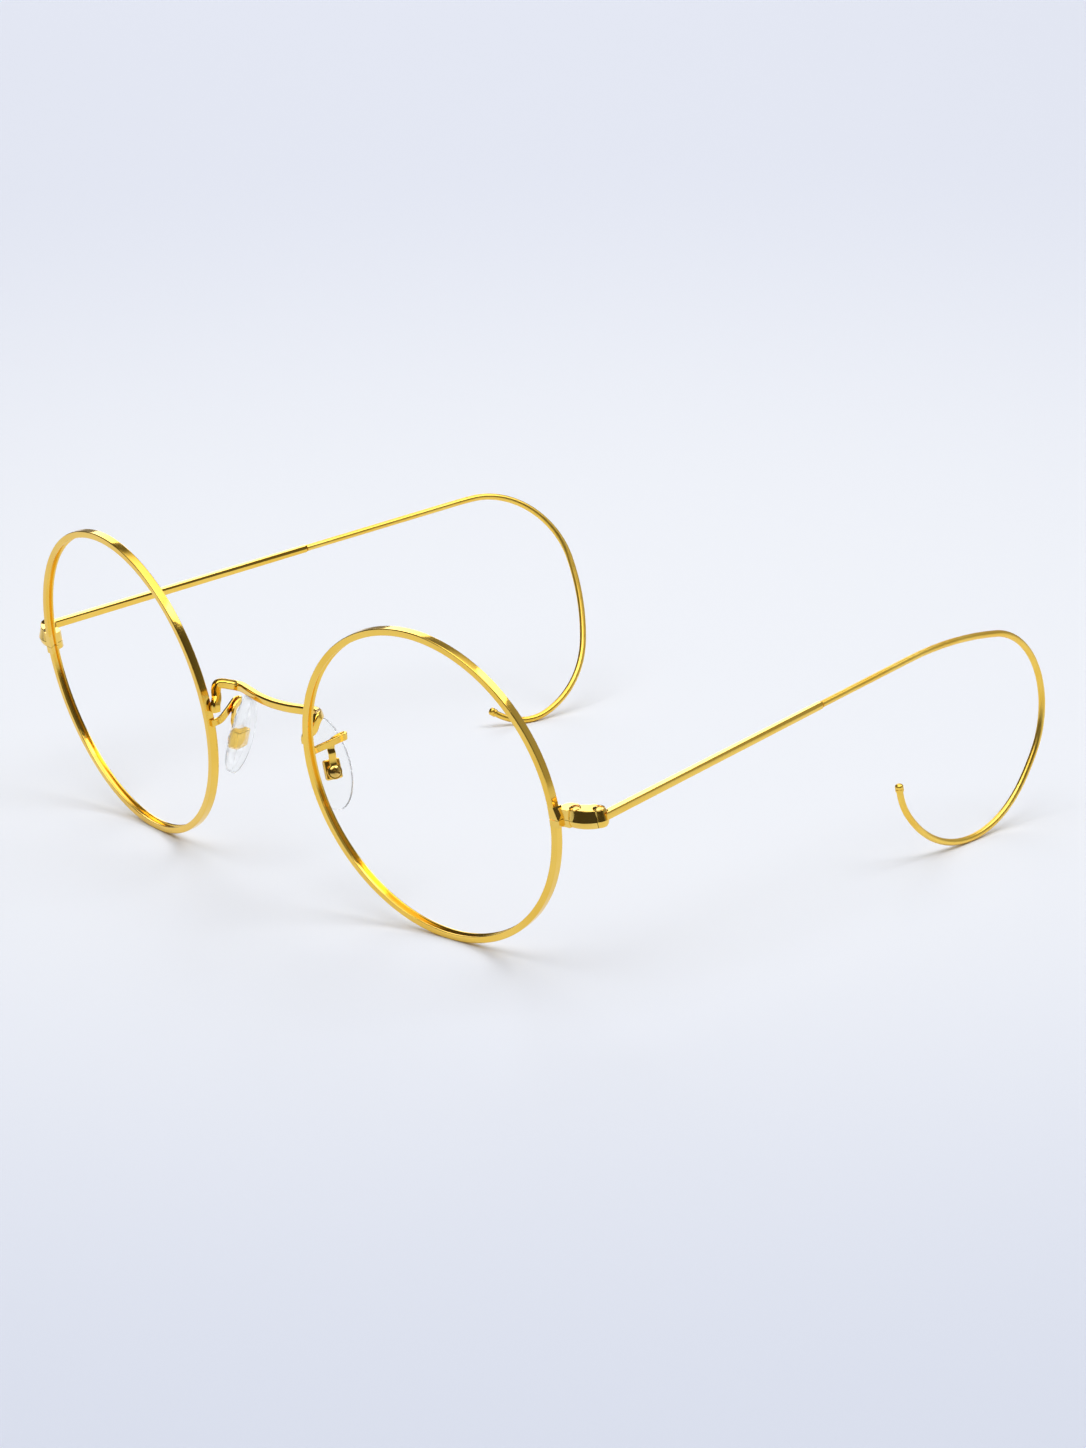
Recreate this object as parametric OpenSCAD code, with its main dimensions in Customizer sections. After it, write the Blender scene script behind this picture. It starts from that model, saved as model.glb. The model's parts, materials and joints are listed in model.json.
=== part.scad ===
// Round wire spectacle frame with curl sides, standing open on a table.
// The pieces are drawn in an upright frame: origin midway between the two rim
// centres, X to the wearer's left, Y from the front to the ears, Z up.
// stand() then leans the whole frame until rims and curls touch the table.

/* [Rims] */
// Inner radius of the two lips that the lens sits between
lip_r = 22.98; // [20:0.01:26]
// Thickness of the rim wire, from lip to outer band
rim_wall = 1.02; // [0.8:0.01:1.6]
// Depth of the rim wire, front to back
rim_depth = 1.3; // [1.1:0.05:2]
// Depth of the lens groove
groove_depth = 0.45; // [0.3:0.01:0.6]
// Width of the lens groove at its mouth
groove_w = 0.8; // [0.5:0.05:0.9]
// Chamfer on the outer edges of the rim wire
rim_chamfer = 0.14; // [0.05:0.01:0.25]
// Distance between the two rim centres
rim_spacing = 70.2; // [68:0.1:78]
// Angle by which each rim wraps back at its outer side
wrap = 7.1; // [3:0.1:10]

/* [End pieces] */
// Height of the end piece's top over the rim centres
end_up = 1.2; // [1:0.05:1.6]
// Depth of its underside below them
end_down = 1.5; // [1.2:0.05:1.8]
// Depth of the parting plane between its two halves below them
split_down = 0.4; // [0.2:0.05:0.6]
// Gap between the upper and the lower half
split_gap = 0.06; // [0.03:0.01:0.12]
// Half height of the brazed block that ends each rim wire
block_half_h = 1.5; // [1.3:0.05:1.9]
// How far that block stands proud of the rim band
block_proud = 0.6; // [0.3:0.05:0.7]
// Angle by which the block's upper face leans in
block_lean = 17; // [5:1:20]
// Angle by which that face turns to the front
block_turn = 12; // [0:1:20]
// Radius of the two lobes of the end piece
lobe_r = 1.25; // [1.2:0.01:1.5]
// Distance of the closing screw from the rim band, outwards
closing_out = 2.18; // [2.1:0.02:3.2]
// Distance of the closing screw behind the rim's outermost point
closing_back = 1.56; // [1:0.02:2]
// Distance between the closing screw and the hinge screw
screw_pitch = 3.42; // [3.2:0.02:4.4]
// Direction from the closing screw to the hinge screw, from straight out
screw_line = 29.6; // [20:0.2:40]
// How far the outer side bows out from the line of the two screws
bow = 1.66; // [1.5:0.02:1.9]
// Half width of the waist on the inner side
waist = 0.95; // [0.8:0.05:1.1]
// Depth of the rounding along the lower edge, which reaches up to the parting plane
end_round = 0.45; // [0.2:0.05:0.6]
// How far the upper part of the sides leans in, on the lobes and on the bowed side
end_draft = [0.3, 0.5]; // [0.1:0.05:0.6]
// Chamfer along the upper edge
end_chamfer = 0.1; // [0.05:0.01:0.2]

/* [Hinges] */
// Radius of the ears that the butt of the temple turns round
ear_r = 0.8; // [0.7:0.01:0.85]
// Half thickness of the tongue
tongue_half = 0.42; // [0.35:0.01:0.5]
// Radius of the tongue
tongue_r = 1; // [0.95:0.01:1.1]
// Gap between moving faces of the hinge
hinge_gap = 0.05; // [0.03:0.01:0.08]
// Radius of the hinge screw's shank
hinge_shank_r = 0.45; // [0.35:0.01:0.5]
// Radial clearance of the tongue on that shank
hinge_clearance = 0.03; // [0.02:0.005:0.08]
// Opening of the seam in front of the butt, as an angle round the screw
seam_open = 2; // [1:0.5:5]
// How far the butt reaches round the screw, from the front's own outward line
butt_end = 54; // [30:1:60]
// Angle by which a temple folds
fold = 79; // [60:1:79]

/* [Screws] */
// Radius of the domed heads on the end pieces
head_r = 0.86; // [0.8:0.01:0.95]
// Height of a domed head
head_h = 0.36; // [0.25:0.01:0.5]
// Height of the straight edge under that dome
head_edge = 0.06; // [0.04:0.01:0.12]
// Width of a screw slot
slot_w = 0.24; // [0.18:0.01:0.35]
// Depth of a screw slot
slot_depth = 0.2; // [0.12:0.01:0.28]
// Direction of the slot in the closing screws, and in the hinge screws
slot_turn = [35, 15]; // [0:1:180]
// Radius of the closing screw's shank
closing_shank_r = 0.5; // [0.4:0.01:0.6]
// How far a screw's end stays inside the lower half
screw_end = 0.1; // [0.02:0.01:0.3]
// Radial clearance of a screw in its own hole
screw_clearance = 0.02; // [0.01:0.005:0.05]

/* [Temples] */
// Angle by which the temples slope down from the front's normal
temple_slope = 3.92; // [2:0.02:8]
// Angle by which the open temples run inwards
temple_inward = 7.2; // [2:0.1:10]
// Offset of the stem's centreline outside the hinge screw
stem_offset = 0.78; // [0.72:0.01:0.9]
// Distance behind the hinge screw from which the stem is measured
stem_from = 1.7; // [1.5:0.1:2.5]
// Length of the stem from there to its end
stem_len = 45.95; // [40:0.05:60]
// Thickness of the stem where it leaves the hinge
stem_w = 1.18; // [1.1:0.01:1.4]
// Thickness of the stem at its end
stem_end_w = 1.1; // [1:0.01:1.3]
// Chamfer round the stem's end
stem_chamfer = 0.22; // [0.1:0.01:0.3]
// Height of the slanted facets at the stem's start and end
stem_facet = [0.2, 0.5]; // [0.1:0.02:0.5]
// Angle by which those facets lean in
facet_lean = 25; // [15:1:30]
// Diameter of the curl wire
wire_d = 1.02; // [0.9:0.01:1.05]
// Radius of the wire's spigot, which is brazed into the stem
spigot_r = 0.32; // [0.2:0.01:0.36]
// Length of that spigot
spigot_len = 2.5; // [1.5:0.1:5]
// Radial clearance of the spigot in its socket
spigot_clearance = 0.02; // [0.01:0.005:0.04]
// Radii of the five bends of a curl, from the stem to the tip
bend_r = [76, 13.1, 37.35, 18.05, 8.9]; // [8:0.05:80]
// Straight wire of the left temple before its first bend
left_straight = 20.55; // [15:0.1:30]
// Turns of the left curl's bends, in degrees
left_turns = [15.7, 115.4, 6.7, 101.7, 27.4]; // [2:0.1:120]
// Lean of the left curl's plane about its stem
left_lean = -1.3; // [-10:0.1:40]
// Straight wire of the right temple before its first bend
right_straight = 28.35; // [20:0.1:35]
// Turns of the right curl's bends, in degrees
right_turns = [2.6, 92.1, 21.5, 50.3, 58.5]; // [2:0.1:120]
// Lean of the right curl's plane about its stem
right_lean = 34.2; // [-10:0.1:40]
// Radius of the bead on the wire's tip
bead_r = 0.64; // [0.6:0.01:0.8]
// Length of that bead
bead_len = 1.25; // [1:0.05:2]

/* [Bridge] */
// Height of the bar's middle over the rim centres
bridge_h = 4.35; // [3:0.05:7]
// How far the bar's middle lies behind the rims' nasal edges
bridge_back = 3.6; // [2.5:0.05:5]
// Height of the bar's section
bridge_tall = 1.35; // [1.2:0.05:1.8]
// Thickness of the bar's section
bridge_thick = 1.1; // [0.9:0.05:1.3]
// Corner chamfer of that section
bridge_chamfer = 0.3; // [0.1:0.02:0.4]
// Angle above the rim's level at which the bridge's legs end
bridge_foot = 4; // [2:0.1:6]

/* [Nose pads] */
// Length of a clear pad
pad_len = 13.6; // [11:0.1:15]
// Width of a clear pad
pad_w = 6.3; // [5.5:0.1:8]
// Radius of its upper end
pad_top_r = 2; // [1.6:0.05:2.6]
// Offset of that end to the front
pad_top_front = 0.1; // [-0.5:0.05:0.6]
// Thickness of a clear pad at its middle
pad_thick = 1.7; // [1.5:0.05:2.5]
// Thickness of a clear pad at its edge
pad_edge = 0.7; // [0.5:0.05:1]
// Distance of the pad's middle above its screw
pad_rise = 1.2; // [0.5:0.05:2]
// Centre of the arm's eye outside the rims' nasal edges
pad_out = 0.6; // [0:0.05:2]
// Centre of the arm's eye behind the rims' nasal edges
pad_back = 3.8; // [3:0.05:5]
// Centre of the arm's eye below the rim centres
pad_drop = 3.8; // [3:0.05:6]
// Angle by which the pads open towards the face
pad_splay = 20; // [10:0.5:40]
// Angle by which the pads stand apart towards the bottom
pad_flare = 18.2; // [10:0.2:25]
// Angle by which the pads' tops lie back
pad_pitch = 10.8; // [0:0.2:20]
// Thickness of the pad arm's strip
arm_t = 0.45; // [0.35:0.01:0.55]
// Width of that strip
arm_w = 1.1; // [0.9:0.05:1.3]
// Radius of the eye that the pad's screw goes through
eye_r = 1.12; // [1:0.01:1.3]
// Radius of the pad screw's head
pad_head_r = 0.88; // [0.75:0.01:1]
// Height of that head
pad_head_h = 0.32; // [0.25:0.01:0.5]
// Radius of the pad screw's shank
pad_shank_r = 0.42; // [0.3:0.01:0.5]
// Radial clearance of the pad's insert on that shank
pad_clearance = 0.04; // [0.02:0.005:0.08]
// Gap between the arm's eye and the insert
pad_gap = 0.05; // [0.03:0.01:0.1]
// Thickness of the insert
insert_t = 1.2; // [0.9:0.05:1.4]
// Width and length of the insert
insert_size = [2.5, 3]; // [2.2:0.1:3.6]
// How much of the insert's thickness shows outside the pad
insert_proud = 0.55; // [0.2:0.05:0.7]
// How far the insert reaches below the screw
insert_drop = 1.1; // [0.9:0.1:1.4]

/* [Standing] */
// Lean of the front on the table, round which the search for contact looks
lean_guess = 9.3; // [6:0.1:13]
// How far the search looks either way
lean_span = 8; // [5:1:12]

/* [Hidden] */
$fn = 48;

gold = [0.87, 0.70, 0.28];
clear = [0.86, 0.89, 0.88];

// Joint line left between neighbouring solids
seam = 0.02;
// Larger than any section that it cuts
big = 20;

rim_out_r = lip_r + rim_wall;
wire_r = wire_d / 2;

// Unit vector in the plane at an angle from X
function dir(a) = [cos(a), sin(a)];
function unit(v) = v / norm(v);
function turn_x(p, a) = [p[0], cos(a) * p[1] - sin(a) * p[2], sin(a) * p[1] + cos(a) * p[2]];
function turn_y(p, a) = [cos(a) * p[0] + sin(a) * p[2], p[1], cos(a) * p[2] - sin(a) * p[0]];
function turn_z(p, a) = [cos(a) * p[0] - sin(a) * p[1], sin(a) * p[0] + cos(a) * p[1], p[2]];
// Sum of the first n entries
function sum(v, n) = n <= 0 ? 0 : v[n - 1] + sum(v, n - 1);

// A point of the left rim: angle from its outer side, radius, and depth behind its mid plane
function rim_point(a, r, back) =
    turn_z([r * cos(a), back, r * sin(a)], wrap) + [rim_spacing / 2, 0, 0];
outer_edge = rim_point(0, rim_out_r, 0);
nasal_edge = rim_point(180, rim_out_r, 0);

// Plan positions of the two screws of the left end piece
closing_xy = [outer_edge[0] + closing_out, outer_edge[1] + closing_back];
hinge_xy = closing_xy + screw_pitch * dir(screw_line);
// Outer seam between end piece and butt, as a direction from the hinge screw
seam_dir = screw_line - 90;
temple_dir = 90 + temple_inward;
// Circle that draws the bowed outer side; it runs just inside the lobes
bow_in = 0.04;
bow_r = (pow(screw_pitch / 2, 2) + bow * bow - pow(lobe_r - bow_in, 2)) / (2 * (bow - lobe_r + bow_in));

// Place and heading where bend i of a curl starts, in the plane of the curl
function heading(turns, i) = -sum(turns, i);
function bend_centre(straight, turns, i) =
    bend_start(straight, turns, i) + bend_r[i] * dir(heading(turns, i) - 90);
function bend_start(straight, turns, i) =
    i == 0 ? [stem_len + straight, 0]
    : bend_centre(straight, turns, i - 1) + bend_r[i - 1] * dir(heading(turns, i) + 90);
// Points along the wire, close enough together for a chord's rise to stay small
chord_rise = 0.02;
function bend_points(straight, turns, i) =
    let (n = ceil(turns[i] / (2 * acos(1 - chord_rise / bend_r[i]))), c = bend_centre(straight, turns, i))
    [for (k = [1 : n]) c + bend_r[i] * dir(heading(turns, i) - turns[i] * k / n + 90)];
function curl_points(straight, turns) =
    [[stem_len, 0], for (i = [0 : len(turns) - 1]) each bend_points(straight, turns, i)];

// From the plane of a curl to the upright frame, on the left side
function temple_place(p, slope, lean) =
    turn_z([stem_offset, stem_from, 0]
        + turn_x([p[1] * sin(lean), p[0], p[1] * cos(lean)], slope), temple_inward)
    + [hinge_xy[0], hinge_xy[1], 0];

// Height of a curl over the rims' lowest point, when the front leans by a
function rim_low(a) = -rim_out_r * cos(a) - rim_depth / 2 * sin(a);
function curl_low(pts, slope, lean, a) =
    min([for (p = pts) turn_x(temple_place(p, slope, lean), a)[2]]) - wire_r - rim_low(a);
// The front leans until rims and left curl touch the table together
function find_lean(a0, a1, n) =
    let (a = (a0 + a1) / 2)
    n <= 0 ? a
    : curl_low(left_pts, -temple_slope, left_lean, a) > 0 ? find_lean(a0, a, n - 1)
    : find_lean(a, a1, n - 1);
// The right temple is adjusted at its hinge until its curl touches too
function find_slope(s0, s1, n) =
    let (s = (s0 + s1) / 2)
    n <= 0 ? s
    : curl_low(right_pts, s, right_lean, stand_lean) > 0 ? find_slope(s0, s, n - 1)
    : find_slope(s, s1, n - 1);
halvings = 24;
slope_span = 6;
left_pts = curl_points(left_straight, left_turns);
right_pts = curl_points(right_straight, right_turns);
stand_lean = find_lean(lean_guess - lean_span, lean_guess + lean_span, halvings);
left_slope = -temple_slope;
right_slope = find_slope(left_slope - slope_span, left_slope + slope_span, halvings);

// Height and depth at which the leaning frame stands centred over the origin
stand_up = -rim_low(stand_lean);
front_limit = min([for (a = [0 : 2 : 180], side = [-1, 1])
    turn_x(rim_point(a, rim_out_r, side * rim_depth / 2), stand_lean)[1]]);
function far_back(pts, slope, lean) =
    max([for (p = pts) turn_x(temple_place(p, slope, lean), stand_lean)[1]]) + wire_r;
back_limit = max(far_back(left_pts, left_slope, left_lean), far_back(right_pts, right_slope, right_lean));
stand_back = -(front_limit + back_limit) / 2;

module stand() {
    translate([0, stand_back, stand_up]) rotate([stand_lean, 0, 0]) children();
}
// Stands the left piece, or its mirror image for the right
module on_side(side) {
    stand() if (side > 0) {
        children();
    } else {
        mirror([1, 0, 0]) children();
    }
}

// Section of the rim wire, outer band proud by the given amount
module rim_section(proud) {
    h = rim_depth / 2;
    r = rim_out_r + proud;
    c = rim_chamfer;
    g = groove_w / 2;
    polygon([
        [lip_r, -h], [r - c, -h], [r, c - h], [r, h - c], [r - c, h], [lip_r, h],
        [lip_r, g], [lip_r + groove_depth, g / 2], [lip_r + groove_depth, -g / 2], [lip_r, -g]
    ]);
}
// A stretch of that section between two angles of the left rim
module rim_stretch(a0, a1, proud) {
    translate([rim_spacing / 2, 0, 0]) rotate([0, 0, wrap]) rotate([90, 0, 0]) rotate([0, 0, a0])
        rotate_extrude(angle = a1 - a0, $fn = 180) rim_section(proud);
}
block_angle = asin(block_half_h / rim_out_r);
// Angles of the upper half's underside and of the lower half's top at the rim
split_angle = [for (side = [1, -1]) asin((side * split_gap / 2 - split_down) / rim_out_r)];
seam_angle = asin(seam / rim_out_r);

module rim(side) {
    color(gold) on_side(side) rim_stretch(block_angle + seam_angle, 360 - block_angle - seam_angle, 0);
}

// Half section of an end piece lobe of radius r: rounded below, leaning in and chamfered above
round_steps = 4;
module lobe(r, draft) {
    rotate_extrude() polygon(concat(
        [[0, -end_down]],
        [for (k = [0 : round_steps]) let (a = 90 * k / round_steps)
            [r - end_round * (1 - sin(a)), (end_down - split_down) * (1 - cos(a)) - end_down]],
        [[r - draft, end_up - end_chamfer], [r - draft - end_chamfer, end_up], [0, end_up]]));
}
module at_closing() {
    translate([closing_xy[0], closing_xy[1], 0]) rotate([0, 0, screw_line]) children();
}
module at_hinge() {
    translate([hinge_xy[0], hinge_xy[1], 0]) children();
}
// Wedge between two directions, of height 2 h
module wedge(a0, a1, h) {
    n = 6;
    translate([0, 0, -h]) linear_extrude(2 * h)
        polygon([[0, 0], for (k = [0 : n]) big / 3 * dir(a0 + (a1 - a0) * k / n)]);
}
// Neck between the rim's block and the closing lobe, from the rim's outermost point
neck = [[-0.3, -0.2], [0.5, 0.15], [1.85, 0.35], [2.2, 1.5], [1.65, 2.68], [0.45, 2.4], [0, 1.85],
    [-0.12, 1.1], [-0.35, 0.5]];
// How far the bowed side runs on past the two screws
bow_over = 0.4;
// Swell of the hinge lobe's inner side, from the hinge screw
swell_at = [-0.95, 0.3];
module closed_end_piece() {
    at_closing() {
        lobe(lobe_r, end_draft[0]);
        translate([screw_pitch, 0, 0]) lobe(lobe_r, end_draft[0]);
        translate([screw_pitch + swell_at[0], swell_at[1], 0]) lobe(lobe_r, end_draft[0]);
        intersection() {
            translate([screw_pitch / 2, bow_r - bow, 0]) lobe(bow_r, end_draft[1]);
            translate([-bow_over, -big, -end_down])
                cube([screw_pitch + 2 * bow_over, big + waist, end_down + end_up]);
        }
    }
    translate([outer_edge[0], outer_edge[1], -end_down]) linear_extrude(end_down + end_up) polygon(neck);
}
// Angle left free behind the butt of a folded temple
fold_room = 3;
// Room for the temple: its butt, its stem and its tongue turn in these
module hinge_room() {
    difference() {
        wedge(seam_dir, butt_end + fold + fold_room, end_down + 1);
        cylinder(r = ear_r, h = big, center = true);
    }
    difference() {
        wedge(seam_dir, temple_dir + fold, stem_w / 2 + hinge_gap);
        cylinder(r = lobe_r, h = big, center = true);
    }
    wedge(seam_dir, temple_dir + fold, tongue_half + hinge_gap);
    cylinder(r = tongue_r + hinge_gap, h = 2 * (tongue_half + hinge_gap), center = true);
}
module half_end_piece(up) {
    if (up > 0) {
        difference() {
            rim_stretch(split_angle[0], block_angle, block_proud);
            translate([outer_edge[0], outer_edge[1], 0]) rotate([0, 0, -block_turn]) translate([block_proud, 0, 0])
                rotate([0, -block_lean, 0]) translate([0, -big / 2, -big / 2]) cube(big);
        }
    } else {
        rim_stretch(-block_angle, split_angle[1], block_proud);
    }
    difference() {
        intersection() {
            closed_end_piece();
            translate([outer_edge[0] - 1, outer_edge[1] - 5, up * split_gap / 2 - split_down - (up > 0 ? 0 : big)])
                cube(big);
        }
        at_hinge() hinge_room();
        at_hinge() cylinder(r = hinge_shank_r + screw_clearance, h = big, center = true);
        at_closing() cylinder(r = closing_shank_r + screw_clearance, h = big, center = true);
    }
}
module end_piece(side, up) {
    color(gold) on_side(side) half_end_piece(up);
}

// Screw with a slotted dome; its head's underside lies on z = 0
module domed_screw(r, h, edge, shank_r, shank_len, turn) {
    dome_r = (r * r + pow(h - edge, 2)) / (2 * (h - edge));
    difference() {
        intersection() {
            translate([0, 0, h - dome_r]) sphere(r = dome_r);
            cylinder(r = r, h = h + 1);
        }
        rotate([0, 0, turn]) translate([-r - 1, -slot_w / 2, h - slot_depth]) cube([2 * r + 2, slot_w, h]);
    }
    translate([0, 0, -shank_len]) cylinder(r = shank_r, h = shank_len + edge / 2);
}
module end_screw(side, at, shank_r, turn) {
    color(gold) on_side(side) translate([at[0], at[1], end_up])
        domed_screw(head_r, head_h, head_edge, shank_r, end_up + end_down - screw_end, turn);
}

// Places a temple's parts at its straight line; X points outwards, Y along the stem
module at_stem(slope) {
    at_hinge() rotate([0, 0, temple_inward]) translate([stem_offset, stem_from, 0]) rotate([slope, 0, 0])
        children();
}
// Half space outside the slanted facet through two points of its lower edge
module outside_facet(p0, p1) {
    step = p1 - p0;
    rise = step[0] * cos(facet_lean) + step[2] * sin(facet_lean);
    translate(p0) rotate([0, -facet_lean, 0]) rotate([0, 0, -atan(rise / step[1])]) translate([0, -stem_len, -big])
        cube([big, 3 * stem_len, 2 * big]);
}
// Tapering bar with slanted facets and a chamfered end, along Y from y0 to y1
module stem_bar(y0, y1) {
    a = stem_w / 2;
    b = stem_end_w / 2;
    e = stem_chamfer;
    side_view = [[y0, -a], [y1 - e, -b], [y1, e - b], [y1, b - e], [y1 - e, b], [y0, a]];
    difference() {
        intersection() {
            rotate([0, 0, 90]) rotate([90, 0, 0]) translate([0, 0, -a]) linear_extrude(2 * a) polygon(side_view);
            translate([0, 0, -a]) linear_extrude(2 * a) polygon([for (p = side_view) [p[1], p[0]]]);
        }
        for (m = [0, 1], n = [0, 1])
            mirror([m, 0, 0]) mirror([0, 0, n])
                outside_facet([a, y0, a - stem_facet[0]], [b, y1, b - stem_facet[1]]);
    }
}
module stem(side, slope) {
    color(gold) on_side(side) difference() {
        union() {
            at_hinge() cylinder(r = tongue_r, h = 2 * tongue_half, center = true);
            // Butt: a ring round the ears, on the outer side
            at_hinge() difference() {
                intersection() {
                    lobe(lobe_r, end_draft[0]);
                    wedge(seam_dir + seam_open, butt_end, end_down);
                }
                cylinder(r = ear_r + hinge_gap, h = big, center = true);
                translate([-big / 2, -big / 2, end_up - hinge_gap]) cube(big);
            }
            // Root of the stem, thin where it passes between the ears
            intersection() {
                at_stem(slope) stem_bar(-stem_from - 0.2, stem_len);
                at_hinge() wedge(temple_dir - 90, temple_dir + 8, tongue_half);
            }
            difference() {
                at_stem(slope) stem_bar(-stem_from - 0.2, stem_len);
                at_hinge() cylinder(r = lobe_r + hinge_gap, h = big, center = true);
                at_hinge() rotate([0, 0, temple_dir - 180]) translate([0, -big / 2, -big / 2])
                    cube([big / 2, big, big]);
            }
        }
        at_hinge() cylinder(r = hinge_shank_r + hinge_clearance, h = big, center = true);
        at_stem(slope) translate([0, stem_len - spigot_len, 0]) rotate([-90, 0, 0])
            cylinder(r = spigot_r + spigot_clearance, h = spigot_len + 1);
    }
}

// Plane of a curl: X runs along the stem, Y up
module at_curl(slope, lean) {
    at_stem(slope) rotate([0, lean, 0]) rotate([90, 0, 90]) children();
}
module curl_wire(side, slope, lean, straight, turns) {
    path = [for (p = curl_points(straight, turns)) [p[0], p[1], 0]];
    color(gold) on_side(side) at_curl(slope, lean) {
        translate([stem_len - spigot_len + seam, 0, 0]) rotate([0, 90, 0])
            cylinder(r = spigot_r, h = spigot_len + wire_r);
        translate([seam, 0, 0]) swept(path, [0, 1, 0], wire_section);
    }
}
// Bead on the wire's tip: two bands and a domed end
module tip_bead(side, slope, lean, straight, turns) {
    n = len(turns);
    groove = 0.08;
    color(gold) on_side(side) at_curl(slope, lean)
        translate(bend_start(straight, turns, n)) rotate([0, 0, heading(turns, n)]) rotate([0, 90, 0])
        rotate_extrude() polygon(concat(
            [[0, seam], [bead_r - groove, seam], [bead_r, seam + groove], [bead_r, bead_len * 0.3],
             [bead_r - groove, bead_len * 0.3 + groove], [bead_r, bead_len * 0.3 + 2 * groove]],
            [for (a = [0 : 15 : 90]) [bead_r * cos(a), bead_len - bead_r * 0.7 * (1 - sin(a))]]));
}

// Smooth curve through points, with k steps from each to the next
function curve(p, k) =
    let (m = len(p) - 1)
    [for (i = [0 : m - 1], j = [0 : k - 1])
        let (a = p[max(i - 1, 0)], b = p[i], c = p[i + 1], d = p[min(i + 2, m)], t = j / k)
        (2 * b + (c - a) * t + (2 * a - 5 * b + 4 * c - d) * t * t + (3 * b - a - 3 * c + d) * t * t * t) / 2,
     p[m]];
function tangent(p, i) = unit(p[min(i + 1, len(p) - 1)] - p[max(i - 1, 0)]);
// Width direction at each point: the first one, carried along without twist
function across(p, first) =
    [for (i = 0, v = unit(first - (first * tangent(p, 0)) * tangent(p, 0)); i < len(p);
        i = i + 1, w = i < len(p) ? v - (v * tangent(p, i)) * tangent(p, i) : v, v = unit(w)) v];
// Rectangle, thick by t and tall by h, with its corners cut by c
function bar_section(t, h, c) =
    [for (q = [[1, 1], [-1, 1], [-1, -1], [1, -1]])
        each let (p = [q[0] * t / 2, q[1] * h / 2], a = p - [0, q[1] * c], b = p - [q[0] * c, 0])
        q[0] * q[1] > 0 ? [a, b] : [b, a]];
wire_sides = 12;
wire_section = [for (k = [0 : wire_sides - 1]) wire_r * dir(360 * k / wire_sides)];
// Solid of that section along a path; the section's first side faces the given way
module swept(path, first, section) {
    vs = across(path, first);
    n = len(section);
    m = len(path);
    points = [for (i = [0 : m - 1], q = section)
        path[i] + q[0] * vs[i] + q[1] * cross(tangent(path, i), vs[i])];
    skin = [for (i = [0 : m - 2], j = [0 : n - 1])
        let (a = i * n + j, b = i * n + (j + 1) % n) each [[a, a + n, b], [b, a + n, b + n]]];
    ends = [[for (j = [0 : n - 1]) j], [for (j = [n - 1 : -1 : 0]) (m - 1) * n + j]];
    polyhedron(points, concat(ends, skin), convexity = 4);
}

// Bridge: half of its line, from the middle to the foot on the left rim's nasal side
foot_r = rim_out_r + bridge_thick / 2 + seam;
// Angle over which the leg's end runs along the rim
foot_run = 2.4;
bar_y = nasal_edge[1] + bridge_back;
bridge_half = concat(
    [for (q = [[0, 0, 0], [0.3, 0.17, 0.08], [0.52, 0.55, 0.2], [0.74, 1, 0.25]])
        [q[0] * nasal_edge[0], bar_y + q[1], bridge_h + q[2]]],
    [for (q = [[-1.7, 0.85, 0.3], [-0.7, 0.2, 0.55], [0, -0.5, 0.8], [0.35, -1.1, 0.75],
               [0.25, -1.6, 0], [-0.1, -1.95, -0.9]])
        [q[0] + nasal_edge[0], bar_y + q[1], bridge_h + q[2]]],
    [rim_point(180 - bridge_foot - foot_run, foot_r + 0.1, 0.95), rim_point(180 - bridge_foot, foot_r + 0.03, 0.75)]);
module bridge() {
    other = [for (i = [len(bridge_half) - 1 : -1 : 1]) [-bridge_half[i][0], bridge_half[i][1], bridge_half[i][2]]];
    color(gold) stand() swept(curve(concat(other, bridge_half), 4), [-1, 0, 0],
        bar_section(bridge_thick, bridge_tall, bridge_chamfer));
}

// Frame of the left pad: origin in the arm's eye, X towards the lens, Z up the pad
eye_at = [nasal_edge[0] + pad_out, nasal_edge[1] + pad_back, -pad_drop];
function pad_turn(p) = turn_x(turn_y(turn_z(p, -pad_splay), -pad_flare), -pad_pitch);
module at_eye() {
    translate(eye_at) rotate([-pad_pitch, 0, 0]) rotate([0, -pad_flare, 0]) rotate([0, 0, -pad_splay])
        children();
}
arm_r = rim_out_r + arm_t / 2 + seam;
arm_path = concat(
    [rim_point(180, arm_r, -0.1), rim_point(180, arm_r, rim_depth / 2),
     rim_point(179.6, arm_r, rim_depth / 2 + 1)],
    [for (q = [[0.4, 3.7, 0.6], [1.2, 5.5, 1], [1.35, 6.2, 1.05], [0.95, 6.45, 1.05], [0.6, 6.1, 1], [0.35, 5.2, 0.8],
               [0.1, 4.5, 0.4], [0.05, 4.2, -0.4]]) nasal_edge + q],
    [for (q = [[0.55, 0, 2.6], [0.22, 0, 1.8], [0.08, 0, 0.9]]) eye_at + pad_turn(q)]);
module pad_arm(side) {
    color(gold) on_side(side) difference() {
        union() {
            swept(curve(arm_path, 3), [1, 0, 0], bar_section(arm_t, arm_w, arm_t / 4));
            at_eye() rotate([0, 90, 0]) cylinder(r = eye_r, h = arm_t, center = true);
        }
        at_eye() rotate([0, 90, 0]) cylinder(r = pad_shank_r + screw_clearance, h = 4, center = true);
    }
}
module pad_screw(side) {
    color(gold) on_side(side) at_eye() translate([arm_t / 2, 0, 0]) rotate([0, 90, 0])
        domed_screw(pad_head_r, pad_head_h, head_edge, pad_shank_r, arm_t + pad_gap + insert_t, 60);
}
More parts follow.
